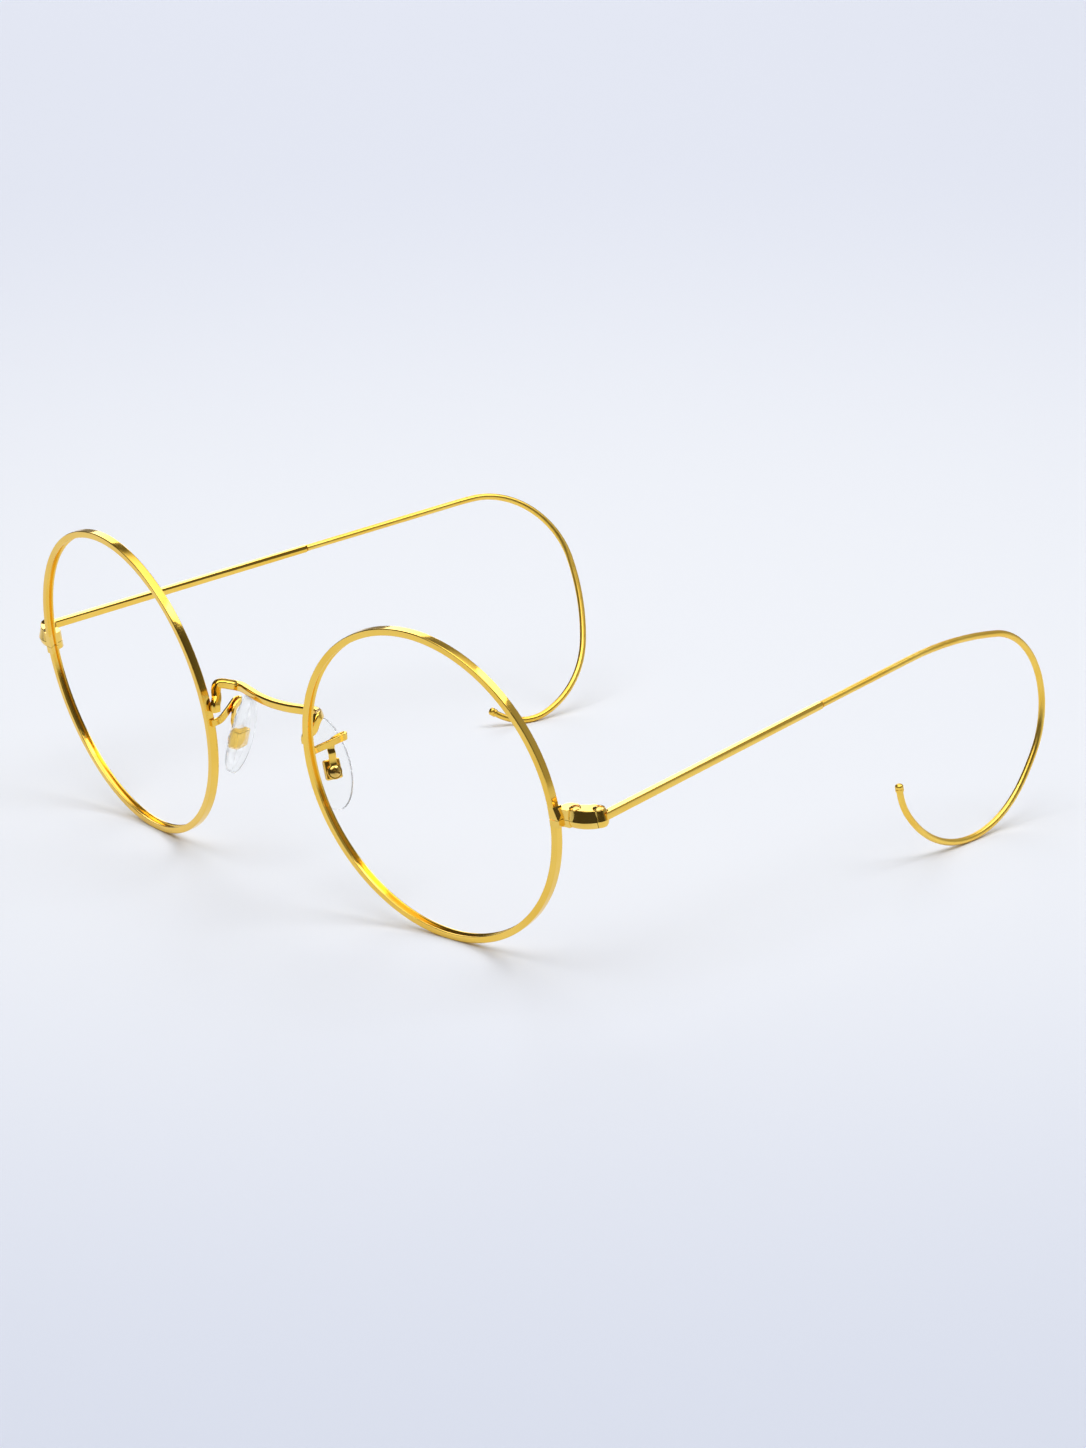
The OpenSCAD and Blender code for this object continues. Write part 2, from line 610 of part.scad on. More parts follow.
// Insert: the box that turns on the pad's screw
insert_face = -arm_t / 2 - pad_gap;
module insert_box(grow) {
    translate([insert_face - insert_t - grow, -insert_size[0] / 2 - grow, -insert_drop - grow])
        cube([insert_t + 2 * grow, insert_size[0] + 2 * grow, insert_size[1] + 2 * grow]);
}
module pad_insert(side) {
    color(gold) on_side(side) at_eye() difference() {
        insert_box(0);
        rotate([0, 90, 0]) cylinder(r = pad_shank_r + pad_clearance, h = big, center = true);
    }
}
pad_face = insert_face - insert_proud;
module nose_pad(side) {
    low_r = pad_w / 2;
    bulge = pad_thick - pad_edge;
    dome_r = (pow(pad_len / 2, 2) + bulge * bulge) / (2 * bulge);
    color(clear) on_side(side) at_eye() difference() {
        intersection() {
            translate([pad_face, 0, pad_rise]) rotate([0, -90, 0]) hull() {
                translate([pad_len / 2 - pad_top_r, -pad_top_front, 0]) cylinder(r = pad_top_r, h = pad_thick, $fn = 32);
                translate([low_r - pad_len / 2, 0, 0]) cylinder(r = low_r, h = pad_thick, $fn = 32);
            }
            translate([pad_face - pad_thick + dome_r, 0, pad_rise]) sphere(r = dome_r, $fn = 200);
        }
        insert_box(seam);
        rotate([0, 90, 0]) cylinder(r = pad_shank_r + pad_clearance, h = 2 * (arm_t + insert_t + 0.4), center = true);
    }
}

bridge();
rim(1);  // rim_left
rim(-1);  // rim_right
end_piece(1, 1);  // end_piece_upper_left
end_piece(-1, 1);  // end_piece_upper_right
end_piece(1, -1);  // end_piece_lower_left
end_piece(-1, -1);  // end_piece_lower_right
end_screw(1, closing_xy, closing_shank_r, slot_turn[0]);  // closing_screw_left
end_screw(-1, closing_xy, closing_shank_r, slot_turn[0]);  // closing_screw_right
end_screw(1, hinge_xy, hinge_shank_r, slot_turn[1]);  // hinge_screw_left
end_screw(-1, hinge_xy, hinge_shank_r, slot_turn[1]);  // hinge_screw_right
stem(1, left_slope);  // temple_stem_left
stem(-1, right_slope);  // temple_stem_right
curl_wire(1, left_slope, left_lean, left_straight, left_turns);  // curl_wire_left
curl_wire(-1, right_slope, right_lean, right_straight, right_turns);  // curl_wire_right
tip_bead(1, left_slope, left_lean, left_straight, left_turns);  // tip_bead_left
tip_bead(-1, right_slope, right_lean, right_straight, right_turns);  // tip_bead_right
pad_arm(1);  // pad_arm_left
pad_arm(-1);  // pad_arm_right
pad_screw(1);  // pad_screw_left
pad_screw(-1);  // pad_screw_right
pad_insert(1);  // pad_insert_left
pad_insert(-1);  // pad_insert_right
nose_pad(1);  // nose_pad_left
nose_pad(-1);  // nose_pad_right
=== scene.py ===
import json
import math

import bmesh
import bpy
from mathutils import Matrix, Vector


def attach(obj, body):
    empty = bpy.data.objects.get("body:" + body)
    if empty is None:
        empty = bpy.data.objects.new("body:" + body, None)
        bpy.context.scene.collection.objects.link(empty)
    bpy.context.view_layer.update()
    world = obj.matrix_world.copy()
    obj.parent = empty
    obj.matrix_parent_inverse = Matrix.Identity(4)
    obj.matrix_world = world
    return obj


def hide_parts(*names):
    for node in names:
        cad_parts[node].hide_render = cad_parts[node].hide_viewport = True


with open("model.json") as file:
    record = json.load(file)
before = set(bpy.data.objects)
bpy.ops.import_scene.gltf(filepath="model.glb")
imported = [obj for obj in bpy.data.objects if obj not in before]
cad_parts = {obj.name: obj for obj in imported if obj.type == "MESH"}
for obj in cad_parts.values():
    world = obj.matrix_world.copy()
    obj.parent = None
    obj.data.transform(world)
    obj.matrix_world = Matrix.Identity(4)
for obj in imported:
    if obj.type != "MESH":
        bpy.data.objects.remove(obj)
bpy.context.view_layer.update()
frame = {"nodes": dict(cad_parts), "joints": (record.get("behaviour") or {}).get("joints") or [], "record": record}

mm = 0.001
record = frame["record"]
mounts = {m["name"]: m for m in record["mounts"]}
joints = {j["name"]: j for j in frame["joints"]}
sides = {"left": 1, "right": -1}

# The frame leans on the table: its own upright axes are found again from the hinge axis and a lens seat
seat = Vector(mounts["lens_seat_left"]["pos_m"])
hingeAxis = Vector(joints["temple_left_hinge"]["axis"])
lean = math.atan2(-hingeAxis.y, hingeAxis.z)
stand = Matrix.Translation((0, seat.y, seat.z)) @ Matrix.Rotation(lean, 4, "X")
unstand = stand.inverted()
seatAxis = unstand.to_3x3() @ Vector(mounts["lens_seat_left"]["axis"])
wrap = math.atan2(seatAxis.x, -seatAxis.y)
hingeAt = unstand @ Vector(joints["temple_left_hinge"]["pos_m"])
eyeAt = unstand @ Vector(joints["pad_left_rock"]["pos_m"])


def standing(side):
    # upright frame of one side, in metres; the right one is the mirror image
    return stand @ Matrix.Scale(sides[side], 4, (1, 0, 0))


class Value:
    # a socket that expressions can be written with
    def __init__(self, graph, socket):
        self.graph = graph
        self.socket = socket

    def join(self, operation, a, b):
        return self.graph.add("ShaderNodeMath", {"operation": operation}, {0: a, 1: b})

    def __add__(self, other):
        return self.join("ADD", self, other)

    def __radd__(self, other):
        return self.join("ADD", other, self)

    def __mul__(self, other):
        return self.join("MULTIPLY", self, other)

    def __rmul__(self, other):
        return self.join("MULTIPLY", other, self)


class Graph:
    # nodes of one material or of the world
    def __init__(self, tree):
        self.tree = tree
        tree.nodes.clear()

    def add(self, kind, settings=None, sockets=None, out=0):
        node = self.tree.nodes.new(kind)
        for name, value in (settings or {}).items():
            setattr(node, name, value)
        for name, value in (sockets or {}).items():
            if isinstance(value, Value):
                self.tree.links.new(value.socket, node.inputs[name])
            else:
                node.inputs[name].default_value = value
        return Value(self, node.outputs[out] if len(node.outputs) else None)

    def step(self, value, low, high):
        return self.add("ShaderNodeMapRange", {"interpolation_type": "SMOOTHSTEP"},
                        {"Value": value, "From Min": low, "From Max": high})

    def mixed(self, factor, first, second):
        return self.add("ShaderNodeMix", {"data_type": "RGBA"}, {0: factor, 6: first, 7: second}, out=2)


def newMaterial(name):
    material = bpy.data.materials.new(name)
    material.use_nodes = True
    return material, Graph(material.node_tree)


goldNoise = {"driftDetail": 3.0, "driftRange": (0.35, 0.68), "grainDetail": 4.0, "grainRoughness": 0.65,
             "grainRange": (0.3, 0.75), "bumpDepth": 0.02}


def gold(name, look):
    # plated metal: colour drifts a little, fine polishing lines break up the gloss
    material, graph = newMaterial(name)
    place = graph.add("ShaderNodeTexCoord", out=3)
    drift = graph.add("ShaderNodeTexNoise", {}, {"Vector": place, "Scale": look["driftScale"],
                                                 "Detail": goldNoise["driftDetail"]})
    grain = graph.add("ShaderNodeTexNoise", {}, {"Vector": place, "Scale": look["grainScale"],
                                                 "Detail": goldNoise["grainDetail"],
                                                 "Roughness": goldNoise["grainRoughness"]})
    drifted = graph.step(drift, *goldNoise["driftRange"])
    tint = graph.mixed(drifted, (*look["light"], 1), (*look["deep"], 1))
    gloss = look["gloss"] + graph.step(grain, *goldNoise["grainRange"]) * look["glossSpread"]
    bump = graph.add("ShaderNodeBump", {}, {"Strength": look["bump"], "Height": grain,
                                            "Distance": goldNoise["bumpDepth"] * mm})
    shader = graph.add("ShaderNodeBsdfPrincipled", {}, {
        "Base Color": tint, "Metallic": 1.0, "Roughness": gloss, "Normal": bump})
    graph.add("ShaderNodeOutputMaterial", {}, {"Surface": shader})
    return material


def clear(name, look):
    # moulded clear plastic with faint clouding
    material, graph = newMaterial(name)
    place = graph.add("ShaderNodeTexCoord", out=3)
    cloud = graph.add("ShaderNodeTexNoise", {}, {"Vector": place, "Scale": look["cloudScale"],
                                                 "Detail": look["cloudDetail"]})
    tint = graph.mixed(graph.step(cloud, *look["cloudRange"]), (*look["pale"], 1), (*look["deep"], 1))
    shader = graph.add("ShaderNodeBsdfPrincipled", {}, {
        "Base Color": tint, "Roughness": look["gloss"] + cloud * look["glossSpread"],
        "IOR": look["ior"], "Transmission Weight": 1.0, "Alpha": look["solid"]})
    graph.add("ShaderNodeOutputMaterial", {}, {"Surface": shader})
    return material


polishedLook = {"light": (0.97, 0.645, 0.12), "deep": (0.93, 0.585, 0.085), "driftScale": 90.0,
                "grainScale": 2600.0, "gloss": 0.07, "glossSpread": 0.08, "bump": 0.10}
plateLook = {"light": (0.955, 0.655, 0.15), "deep": (0.905, 0.57, 0.09), "driftScale": 260.0,
             "grainScale": 3200.0, "gloss": 0.06, "glossSpread": 0.10, "bump": 0.12}
wireLook = {"light": (0.99, 0.68, 0.13), "deep": (0.95, 0.60, 0.085), "driftScale": 120.0,
            "grainScale": 1800.0, "gloss": 0.28, "glossSpread": 0.10, "bump": 0.12}
screwLook = {"light": (0.92, 0.64, 0.20), "deep": (0.79, 0.52, 0.13), "driftScale": 500.0,
             "grainScale": 4200.0, "gloss": 0.10, "glossSpread": 0.14, "bump": 0.22}
padLook = {"pale": (0.985, 0.99, 0.985), "deep": (0.96, 0.97, 0.95), "cloudScale": 220.0,
           "cloudDetail": 2.0, "cloudRange": (0.3, 0.7), "gloss": 0.02, "glossSpread": 0.05,
           "ior": 1.2, "solid": 0.75}
polishedGold = gold("polished_gold", polishedLook)
plateGold = gold("plate_gold", plateLook)
wireGold = gold("wire_gold", wireLook)
screwGold = gold("screw_gold", screwLook)
clearPlastic = clear("clear_plastic", padLook)
print("materials made")


def weighed(mesh, smoothAngle):
    # direction at each corner, by the areas round it: a flat band stays flat beside its rounded edges
    limit = math.cos(math.radians(smoothAngle))
    around = {}
    for face in mesh.polygons:
        for vertex in face.vertices:
            around.setdefault(vertex, []).append((face.normal.copy(), face.area))
    directions = [None] * len(mesh.loops)
    for face in mesh.polygons:
        for corner, vertex in zip(face.loop_indices, face.vertices):
            total = sum((n * area for n, area in around[vertex] if face.normal.dot(n) > limit), Vector())
            directions[corner] = total.normalized()
    return directions


mergeWithin = 0.001


def finished(bm, name, body, material, replaced, side=None, smoothAngle=35):
    # mesh of a finished piece: place is in the mesh, the object stays at the origin
    if side:
        bmesh.ops.transform(bm, matrix=standing(side), verts=bm.verts)
    bmesh.ops.remove_doubles(bm, verts=bm.verts, dist=mergeWithin * mm)
    bmesh.ops.recalc_face_normals(bm, faces=bm.faces)
    openEdges = sum(1 for e in bm.edges if len(e.link_faces) != 2)
    mesh = bpy.data.meshes.new(name)
    bm.to_mesh(mesh)
    bm.free()
    mesh.materials.append(material)
    mesh.shade_smooth()
    mesh.set_sharp_from_angle(angle=math.radians(smoothAngle))
    mesh.normals_split_custom_set(weighed(mesh, smoothAngle))
    piece = bpy.data.objects.new(name, mesh)
    bpy.context.scene.collection.objects.link(piece)
    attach(piece, body)
    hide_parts(*replaced)
    print("made", name, len(mesh.polygons), "faces, open edges", openEdges)
    return piece


def extended(bm, faces, by):
    # faces and their edges are drawn out together, so that nothing is left inside
    grown = bmesh.ops.extrude_face_region(bm, geom=faces + list({e for f in faces for e in f.edges}))
    verts = [g for g in grown["geom"] if isinstance(g, bmesh.types.BMVert)]
    bmesh.ops.translate(bm, verts=verts, vec=by)
    return [g for g in grown["geom"] if isinstance(g, bmesh.types.BMFace)]


def spunProfile(bm, profile, steps):
    # solid of revolution about Z from (radius, height) pairs in millimetres
    verts = [bm.verts.new((r * mm, 0, z * mm)) for r, z in profile]
    edges = [bm.edges.new(pair) for pair in zip(verts, verts[1:])]
    bmesh.ops.spin(bm, geom=verts + edges, cent=(0, 0, 0), axis=(0, 0, 1), dvec=(0, 0, 0),
                   angle=2 * math.pi, steps=steps, use_merge=True, use_duplicate=False)


rimSize = {"wall": 1.02, "depth": 1.3, "grooveWidth": 0.8, "grooveDepth": 0.45, "edge": 0.15,
           "edgeSteps": 3, "lipEdge": 0.07, "lipSteps": 2, "onLip": 0.0001, "blockHalf": 1.5,
           "steps": 240, "smooth": 50}
lensRadius = mounts["lens_seat_left"]["dims"]["r_mm"]
rimOut = lensRadius + rimSize["wall"]


def makeRim(side):
    # section drawn at the seat, rounded at its corners, and spun round the lens
    size = rimSize
    half = size["depth"] / 2
    mouth = size["grooveWidth"] / 2
    lip, bed = lensRadius, lensRadius + size["grooveDepth"]
    start = math.asin(size["blockHalf"] / rimOut)
    bm = bmesh.new()
    corners = [(lip, -half), (rimOut, -half), (rimOut, half), (lip, half), (lip, mouth),
               (bed, mouth / 2), (bed, -mouth / 2), (lip, -mouth)]
    verts = [bm.verts.new((r * mm, y * mm, 0)) for r, y in corners]
    bm.faces.new(verts)
    bmesh.ops.bevel(bm, geom=verts[1:3], offset=size["edge"] * mm, affect="VERTICES",
                    segments=size["edgeSteps"], profile=0.5, material=-1)
    bm.verts.ensure_lookup_table()
    lips = [v for v in bm.verts if abs(v.co.x - lip * mm) < size["onLip"] * mm]
    bmesh.ops.bevel(bm, geom=lips, offset=size["lipEdge"] * mm, affect="VERTICES",
                    segments=size["lipSteps"], profile=0.5, material=-1)
    bmesh.ops.rotate(bm, verts=bm.verts, cent=(0, 0, 0), matrix=Matrix.Rotation(-start, 3, "Y"))
    bmesh.ops.spin(bm, geom=bm.verts[:] + bm.edges[:] + bm.faces[:], cent=(0, 0, 0), axis=(0, -1, 0),
                   dvec=(0, 0, 0), angle=2 * math.pi - 2 * start, steps=size["steps"], use_merge=False,
                   use_duplicate=False)
    place = Matrix.Translation(unstand @ seat) @ Matrix.Rotation(wrap, 4, "Z")
    bmesh.ops.transform(bm, matrix=place, verts=bm.verts)
    finished(bm, "rim_wire_" + side, "root", polishedGold, ["rim_" + side], side,
             size["smooth"])


def rimPoint(degrees, radius, back):
    # a point of the left rim in millimetres: angle from its outer side, radius, depth
    a = math.radians(degrees)
    turned = Matrix.Rotation(wrap, 3, "Z") @ Vector((radius * math.cos(a), back, radius * math.sin(a)))
    return turned + (unstand @ seat) / mm


nasal = rimPoint(180, rimOut, 0)

endSize = {"pitch": 3.42, "line": 29.6, "lobe": 1.25, "bow": 1.66, "bowIn": 0.04, "swell": (-0.95, 0.3),
           "up": 1.2, "down": 1.5, "split": 0.4, "round": 0.45, "lobeDraft": 0.3, "bowDraft": 0.5,
           "chamfer": 0.1, "crown": 6, "ledge": 0.01, "flat": 0.97, "near": 0.12, "turn": 0.17}


def turnedSides():
    # upright axes of the end piece's turned sides, in millimetres: middle, radius, draft
    size = endSize
    line = Matrix.Rotation(math.radians(size["line"]), 2)
    hinge = Vector(hingeAt.xy) / mm
    closing = hinge - line @ Vector((size["pitch"], 0))
    inner = size["lobe"] - size["bowIn"]
    bow = ((size["pitch"] / 2) ** 2 + size["bow"] ** 2 - inner ** 2) / (2 * (size["bow"] - inner))
    return [(hinge, size["lobe"], size["lobeDraft"]), (closing, size["lobe"], size["lobeDraft"]),
            (hinge + line @ Vector(size["swell"]), size["lobe"], size["lobeDraft"]),
            (closing + line @ Vector((size["pitch"] / 2, bow - size["bow"])), bow, size["bowDraft"])]


def turnedPoint(height, radius, draft, below):
    # radius and slope of a turned side at a height: rounded below, drafted above, soft at the top
    size = endSize
    shoulder = size["up"] - size["chamfer"]
    if below:
        low = size["down"] - size["split"]
        rise = max(0, 1 - (height + size["down"]) / low)
        out = math.sqrt(max(0, 1 - rise * rise))
        return radius - size["round"] * (1 - out), -math.atan2(rise / low, out / size["round"])
    slope = math.atan2(draft, shoulder + size["split"]) + math.radians(size["crown"])
    if height < shoulder + size["ledge"]:
        return radius - draft * (height + size["split"]) / (shoulder + size["split"]), slope
    over = (height - shoulder) / size["chamfer"]
    return radius - draft - over * size["chamfer"], slope + over * (math.pi / 2 - slope)


def roundedSides(piece, side):
    # corners on the turned sides take the true direction of a turned and polished surface
    size = endSize
    upright = standing(side).inverted()
    back = standing(side).to_3x3()
    mesh = piece.data
    normals = [Vector(n.vector) for n in mesh.corner_normals]
    turned = turnedSides()
    for face in mesh.polygons:
        normal = upright.to_3x3() @ face.normal
        if abs(normal.z) > size["flat"]:
            continue
        centre = upright @ face.center / mm
        below = centre.z < -size["split"]
        for middle, radius, draft in turned:
            away = centre.xy - middle
            reach = turnedPoint(centre.z, radius, draft, below)[0]
            if abs(away.length - reach) < size["near"] and away.angle(normal.xy) < size["turn"]:
                for corner in face.loop_indices:
                    at = upright @ mesh.vertices[mesh.loops[corner].vertex_index].co / mm
                    slope = turnedPoint(at.z, radius, draft, below)[1]
                    out = (at.xy - middle).normalized() * math.cos(slope)
                    normals[corner] = back @ Vector((out.x, out.y, math.sin(slope)))
                break
    mesh.normals_split_custom_set(normals)


# edges flatter than so many degrees go, and those sharper than so many radians are softened
dressing = {"within": 0.0005, "flatter": 2, "sharper": 0.6, "steps": 3}


def dressed(node, name, body, material, softening=0, shortest=0, smoothAngle=24):
    # a machined piece keeps its exact form; its long edges are softened as polishing leaves them
    bm = bmesh.new()
    bm.from_mesh(frame["nodes"][node].data)
    bmesh.ops.remove_doubles(bm, verts=bm.verts, dist=dressing["within"] * mm)
    bmesh.ops.dissolve_limit(bm, angle_limit=math.radians(dressing["flatter"]), verts=bm.verts,
                             edges=bm.edges)
    if softening:
        edges = [e for e in bm.edges
                 if e.calc_length() > shortest * mm and e.calc_face_angle(0) > dressing["sharper"]]
        bmesh.ops.bevel(bm, geom=edges, offset=softening * mm, affect="EDGES", segments=dressing["steps"],
                        profile=0.5, material=-1)
    return finished(bm, name, body, material, [node], None, smoothAngle)


curlSize = {"wire": 1.02, "round": 28, "slope": {"left": -3.92, "right": -3.83695}, "inward": 7.2,
            "stemOffset": 0.78, "stemFrom": 1.7, "stemLength": 45.95, "seam": 0.02,
            "bendStep": 2.0, "leastSteps": 3, "bends": [76, 13.1, 37.35, 18.05, 8.9],
            "straight": {"left": 20.55, "right": 28.35}, "lean": {"left": -1.3, "right": 34.2},
            "turns": {"left": [15.7, 115.4, 6.7, 101.7, 27.4], "right": [2.6, 92.1, 21.5, 50.3, 58.5]}}


def curlPlace(side):
    # plane of a curl: X along the stem, Y up
    size = curlSize
    return (Matrix.Translation((hingeAt.x, hingeAt.y, 0))
            @ Matrix.Rotation(math.radians(size["inward"]), 4, "Z")
            @ Matrix.Translation((size["stemOffset"] * mm, size["stemFrom"] * mm, 0))
            @ Matrix.Rotation(math.radians(size["slope"][side]), 4, "X")
            @ Matrix.Rotation(math.radians(size["lean"][side]), 4, "Y")
            @ Matrix.Rotation(math.radians(90), 4, "Z") @ Matrix.Rotation(math.radians(90), 4, "X"))


def toCentre(heading, radius):
    # from the wire to the centre of its bend
    return Vector((math.sin(heading), -math.cos(heading), 0)) * radius * mm


def makeCurl(side):
    # a round wire: pulled straight out of the stem, then bent five times
    size = curlSize
    bm = bmesh.new()
    bmesh.ops.create_circle(bm, segments=size["round"], radius=size["wire"] / 2 * mm, cap_ends=True)
    bmesh.ops.rotate(bm, verts=bm.verts, cent=(0, 0, 0), matrix=Matrix.Rotation(math.radians(90), 3, "Y"))
    at = Vector(((size["stemLength"] + size["seam"]) * mm, 0, 0))
    bmesh.ops.translate(bm, verts=bm.verts, vec=at)
    tip = bm.faces[:]
    run = Vector((size["straight"][side] * mm, 0, 0))
    tip = extended(bm, tip, run)
    at += run
    heading = 0.0
    for radius, turn in zip(size["bends"], size["turns"][side]):
        centre = at + toCentre(heading, radius)
        angle = math.radians(turn)
        steps = max(size["leastSteps"], math.ceil(turn / size["bendStep"]))
        geom = tip + list({e for f in tip for e in f.edges}) + list({v for f in tip for v in f.verts})
        spun = bmesh.ops.spin(bm, geom=geom, cent=centre, axis=(0, 0, -1), dvec=(0, 0, 0), angle=angle,
                              steps=steps, use_merge=False, use_duplicate=False)
        tip = [g for g in spun["geom_last"] if isinstance(g, bmesh.types.BMFace)]
        heading -= angle
        at = centre - toCentre(heading, radius)
    bmesh.ops.transform(bm, matrix=curlPlace(side), verts=bm.verts)
    finished(bm, "curl_" + side, "temple_" + side, wireGold, ["curl_wire_" + side], side)
    makeBead(side, at, heading)


beadSize = {"radius": 0.64, "length": 1.25, "groove": 0.08, "band": 0.3, "dome": 0.7, "soft": 0.3,
            "middle": 0.6, "end": 1.4, "domeSteps": 8, "round": 32}


def makeBead(side, at, heading):
    # turned bead on the wire's tip: a soft edge, a groove round it and a low dome
    size = beadSize
    radius, groove, seam = size["radius"], size["groove"], curlSize["seam"]
    band = size["length"] * size["band"]
    soft, middle, end = (groove * size[key] for key in ("soft", "middle", "end"))
    dome = [(radius * math.cos(a), size["length"] - radius * size["dome"] * (1 - math.sin(a)))
            for a in (math.pi / 2 * k / size["domeSteps"] for k in range(size["domeSteps"] + 1))]
    profile = [(0, seam), (radius - groove, seam), (radius - soft, seam + soft),
               (radius, seam + groove), (radius, band), (radius - soft, band + middle),
               (radius - groove, band + groove), (radius - soft, band + end),
               (radius, band + 2 * groove)] + dome[:-1] + [(0, size["length"])]
    bm = bmesh.new()
    spunProfile(bm, profile, size["round"])
    turn = Matrix.Rotation(heading, 4, "Z") @ Matrix.Rotation(math.radians(90), 4, "Y")
    bmesh.ops.transform(bm, matrix=curlPlace(side) @ Matrix.Translation(at) @ turn, verts=bm.verts)
    finished(bm, "bead_" + side, "temple_" + side, wireGold, ["tip_bead_" + side], side)


def smoothLine(points, steps):
    # smooth curve through the points
    line = []
    for i in range(len(points) - 1):
        a, b = points[max(i - 1, 0)], points[i]
        c, d = points[i + 1], points[min(i + 2, len(points) - 1)]
        for k in range(steps):
            t = k / steps
            line.append((2 * b + (c - a) * t + (2 * a - 5 * b + 4 * c - d) * t ** 2
                         + (3 * b - a - 3 * c + d) * t ** 3) / 2)
    return line + [points[-1]]


barSteps = 3


def sweptBar(bm, line, firstAcross, width, height, edge):
    # a rounded bar drawn along a line; width runs along firstAcross at its start
    bmesh.ops.create_grid(bm, x_segments=1, y_segments=1, size=0.5)
    bmesh.ops.scale(bm, vec=(width * mm, height * mm, 1), verts=bm.verts)
    bmesh.ops.bevel(bm, geom=bm.verts[:], offset=edge * mm, affect="VERTICES", segments=barSteps,
                    profile=0.5, material=-1)
    tip = bm.faces[:]
    across = Vector(firstAcross)
    last = Matrix.Identity(4)
    for i, point in enumerate(line):
        along = (line[min(i + 1, len(line) - 1)] - line[max(i - 1, 0)]).normalized()
        across = (across - across.dot(along) * along).normalized()
        turn = Matrix((across, along.cross(across), along)).transposed().to_4x4()
        place = Matrix.Translation(point) @ turn
        if i:
            tip = extended(bm, tip, Vector())
        verts = list({v for f in tip for v in f.verts})
        bmesh.ops.transform(bm, matrix=place @ last.inverted(), verts=verts)
        last = place


# each point of the foot: degrees up from the rim's nasal side, millimetres off the rim and back
bridgeSize = {"tall": 1.35, "thick": 1.1, "edge": 0.3, "height": 4.35, "back": 3.6, "seam": 0.02,
              "foot": {"from": (6.4, 0.1, 0.95), "to": (4.0, 0.03, 0.75)}, "steps": 8, "smooth": 60}
bridgeBar = [(0, 0, 0), (0.3, 0.17, 0.08), (0.52, 0.55, 0.2), (0.74, 1, 0.25)]
bridgeLeg = [(-1.7, 0.85, 0.3), (-0.7, 0.2, 0.55), (0, -0.5, 0.8), (0.35, -1.1, 0.75), (0.25, -1.6, 0),
             (-0.1, -1.95, -0.9)]


def makeBridge():
    # saddle bar over the nose with a leg to each rim, drawn in one go from foot to foot
    size = bridgeSize
    barY = nasal.y + size["back"]
    foot = rimOut + size["thick"] / 2 + size["seam"]
    half = [Vector((x * nasal.x, barY + y, size["height"] + z)) for x, y, z in bridgeBar]
    half += [Vector((x + nasal.x, barY + y, size["height"] + z)) for x, y, z in bridgeLeg]
    half += [rimPoint(180 - up, foot + off, back) for up, off, back in size["foot"].values()]
    other = [Vector((-p.x, p.y, p.z)) for p in reversed(half[1:])]
    line = [p * mm for p in smoothLine(other + half, size["steps"])]
    bm = bmesh.new()
    sweptBar(bm, line, (-1, 0, 0), size["thick"], size["tall"], size["edge"])
    bmesh.ops.transform(bm, matrix=stand, verts=bm.verts)
    finished(bm, "saddle_bridge", "root", polishedGold, ["bridge"], None, size["smooth"])


padSize = {"length": 13.6, "width": 6.3, "thick": 1.7, "edge": 0.7, "rise": 1.2, "splay": 20,
           "flare": 18.2, "pitch": 10.8, "topRadius": 2.0, "topSpread": 0.35, "topShift": -0.1,
           "face": 0.875, "round": 96, "rings": 10, "smooth": 50}
padTurn = (Matrix.Rotation(math.radians(-padSize["pitch"]), 4, "X")
           @ Matrix.Rotation(math.radians(-padSize["flare"]), 4, "Y")
           @ Matrix.Rotation(math.radians(-padSize["splay"]), 4, "Z"))
padPlace = Matrix.Translation(eyeAt) @ padTurn


def makePad(side):
    # clear pad: an egg outline with a thin edge, crowned towards the nose
    size = padSize
    bm = bmesh.new()
    bmesh.ops.create_circle(bm, segments=size["round"], radius=1, cap_ends=True)
    low, top = size["width"] / 2, size["topRadius"]
    for v in bm.verts:
        blend = (1 + v.co.x) / 2
        wide = low + (top + size["topSpread"] - low) * blend ** 2
        v.co = Vector((v.co.x * size["length"] / 2, v.co.y * wide + size["topShift"] * blend, 0)) * mm
    tip = extended(bm, bm.faces[:], Vector((0, 0, size["edge"] * mm)))
    crown = size["thick"] - size["edge"]
    middle = Vector((0, size["topShift"] / 2 * mm, 0))
    last = 1.0
    for k in range(1, size["rings"]):
        angle = math.pi / 2 * k / size["rings"]
        tip = extended(bm, tip, Vector())
        for v in tip[0].verts:
            v.co = middle + (v.co - middle) * (math.cos(angle) / last)
            v.co.z = (size["edge"] + crown * math.sin(angle)) * mm
        last = math.cos(angle)
    bmesh.ops.transform(bm, verts=bm.verts, matrix=padPlace @ Matrix.Translation(
        (-size["face"] * mm, 0, size["rise"] * mm)) @ Matrix.Rotation(math.radians(-90), 4, "Y"))
    finished(bm, "clear_pad_" + side, "pad_" + side, clearPlastic, ["nose_pad_" + side],
             side, size["smooth"])


insertSize = {"face": 0.275, "thick": 1.2, "wide": 2.5, "tall": 3.0, "drop": 1.1, "corner": 0.32,
              "cornerSteps": 5}


def makeInsert(side):
    # the box that holds the pad, with polished corners
    size = insertSize
    bm = bmesh.new()
    bmesh.ops.create_cube(bm, size=1)
    bmesh.ops.scale(bm, vec=Vector((size["thick"], size["wide"], size["tall"])) * mm, verts=bm.verts)
    bmesh.ops.bevel(bm, geom=bm.edges[:], offset=size["corner"] * mm, affect="EDGES",
                    segments=size["cornerSteps"], profile=0.5, material=-1)
    middle = Vector((-size["face"] - size["thick"] / 2, 0, size["tall"] / 2 - size["drop"])) * mm
    bmesh.ops.transform(bm, matrix=padPlace @ Matrix.Translation(middle), verts=bm.verts)
    finished(bm, "pad_box_" + side, "pad_" + side, plateGold, ["pad_insert_" + side], side)


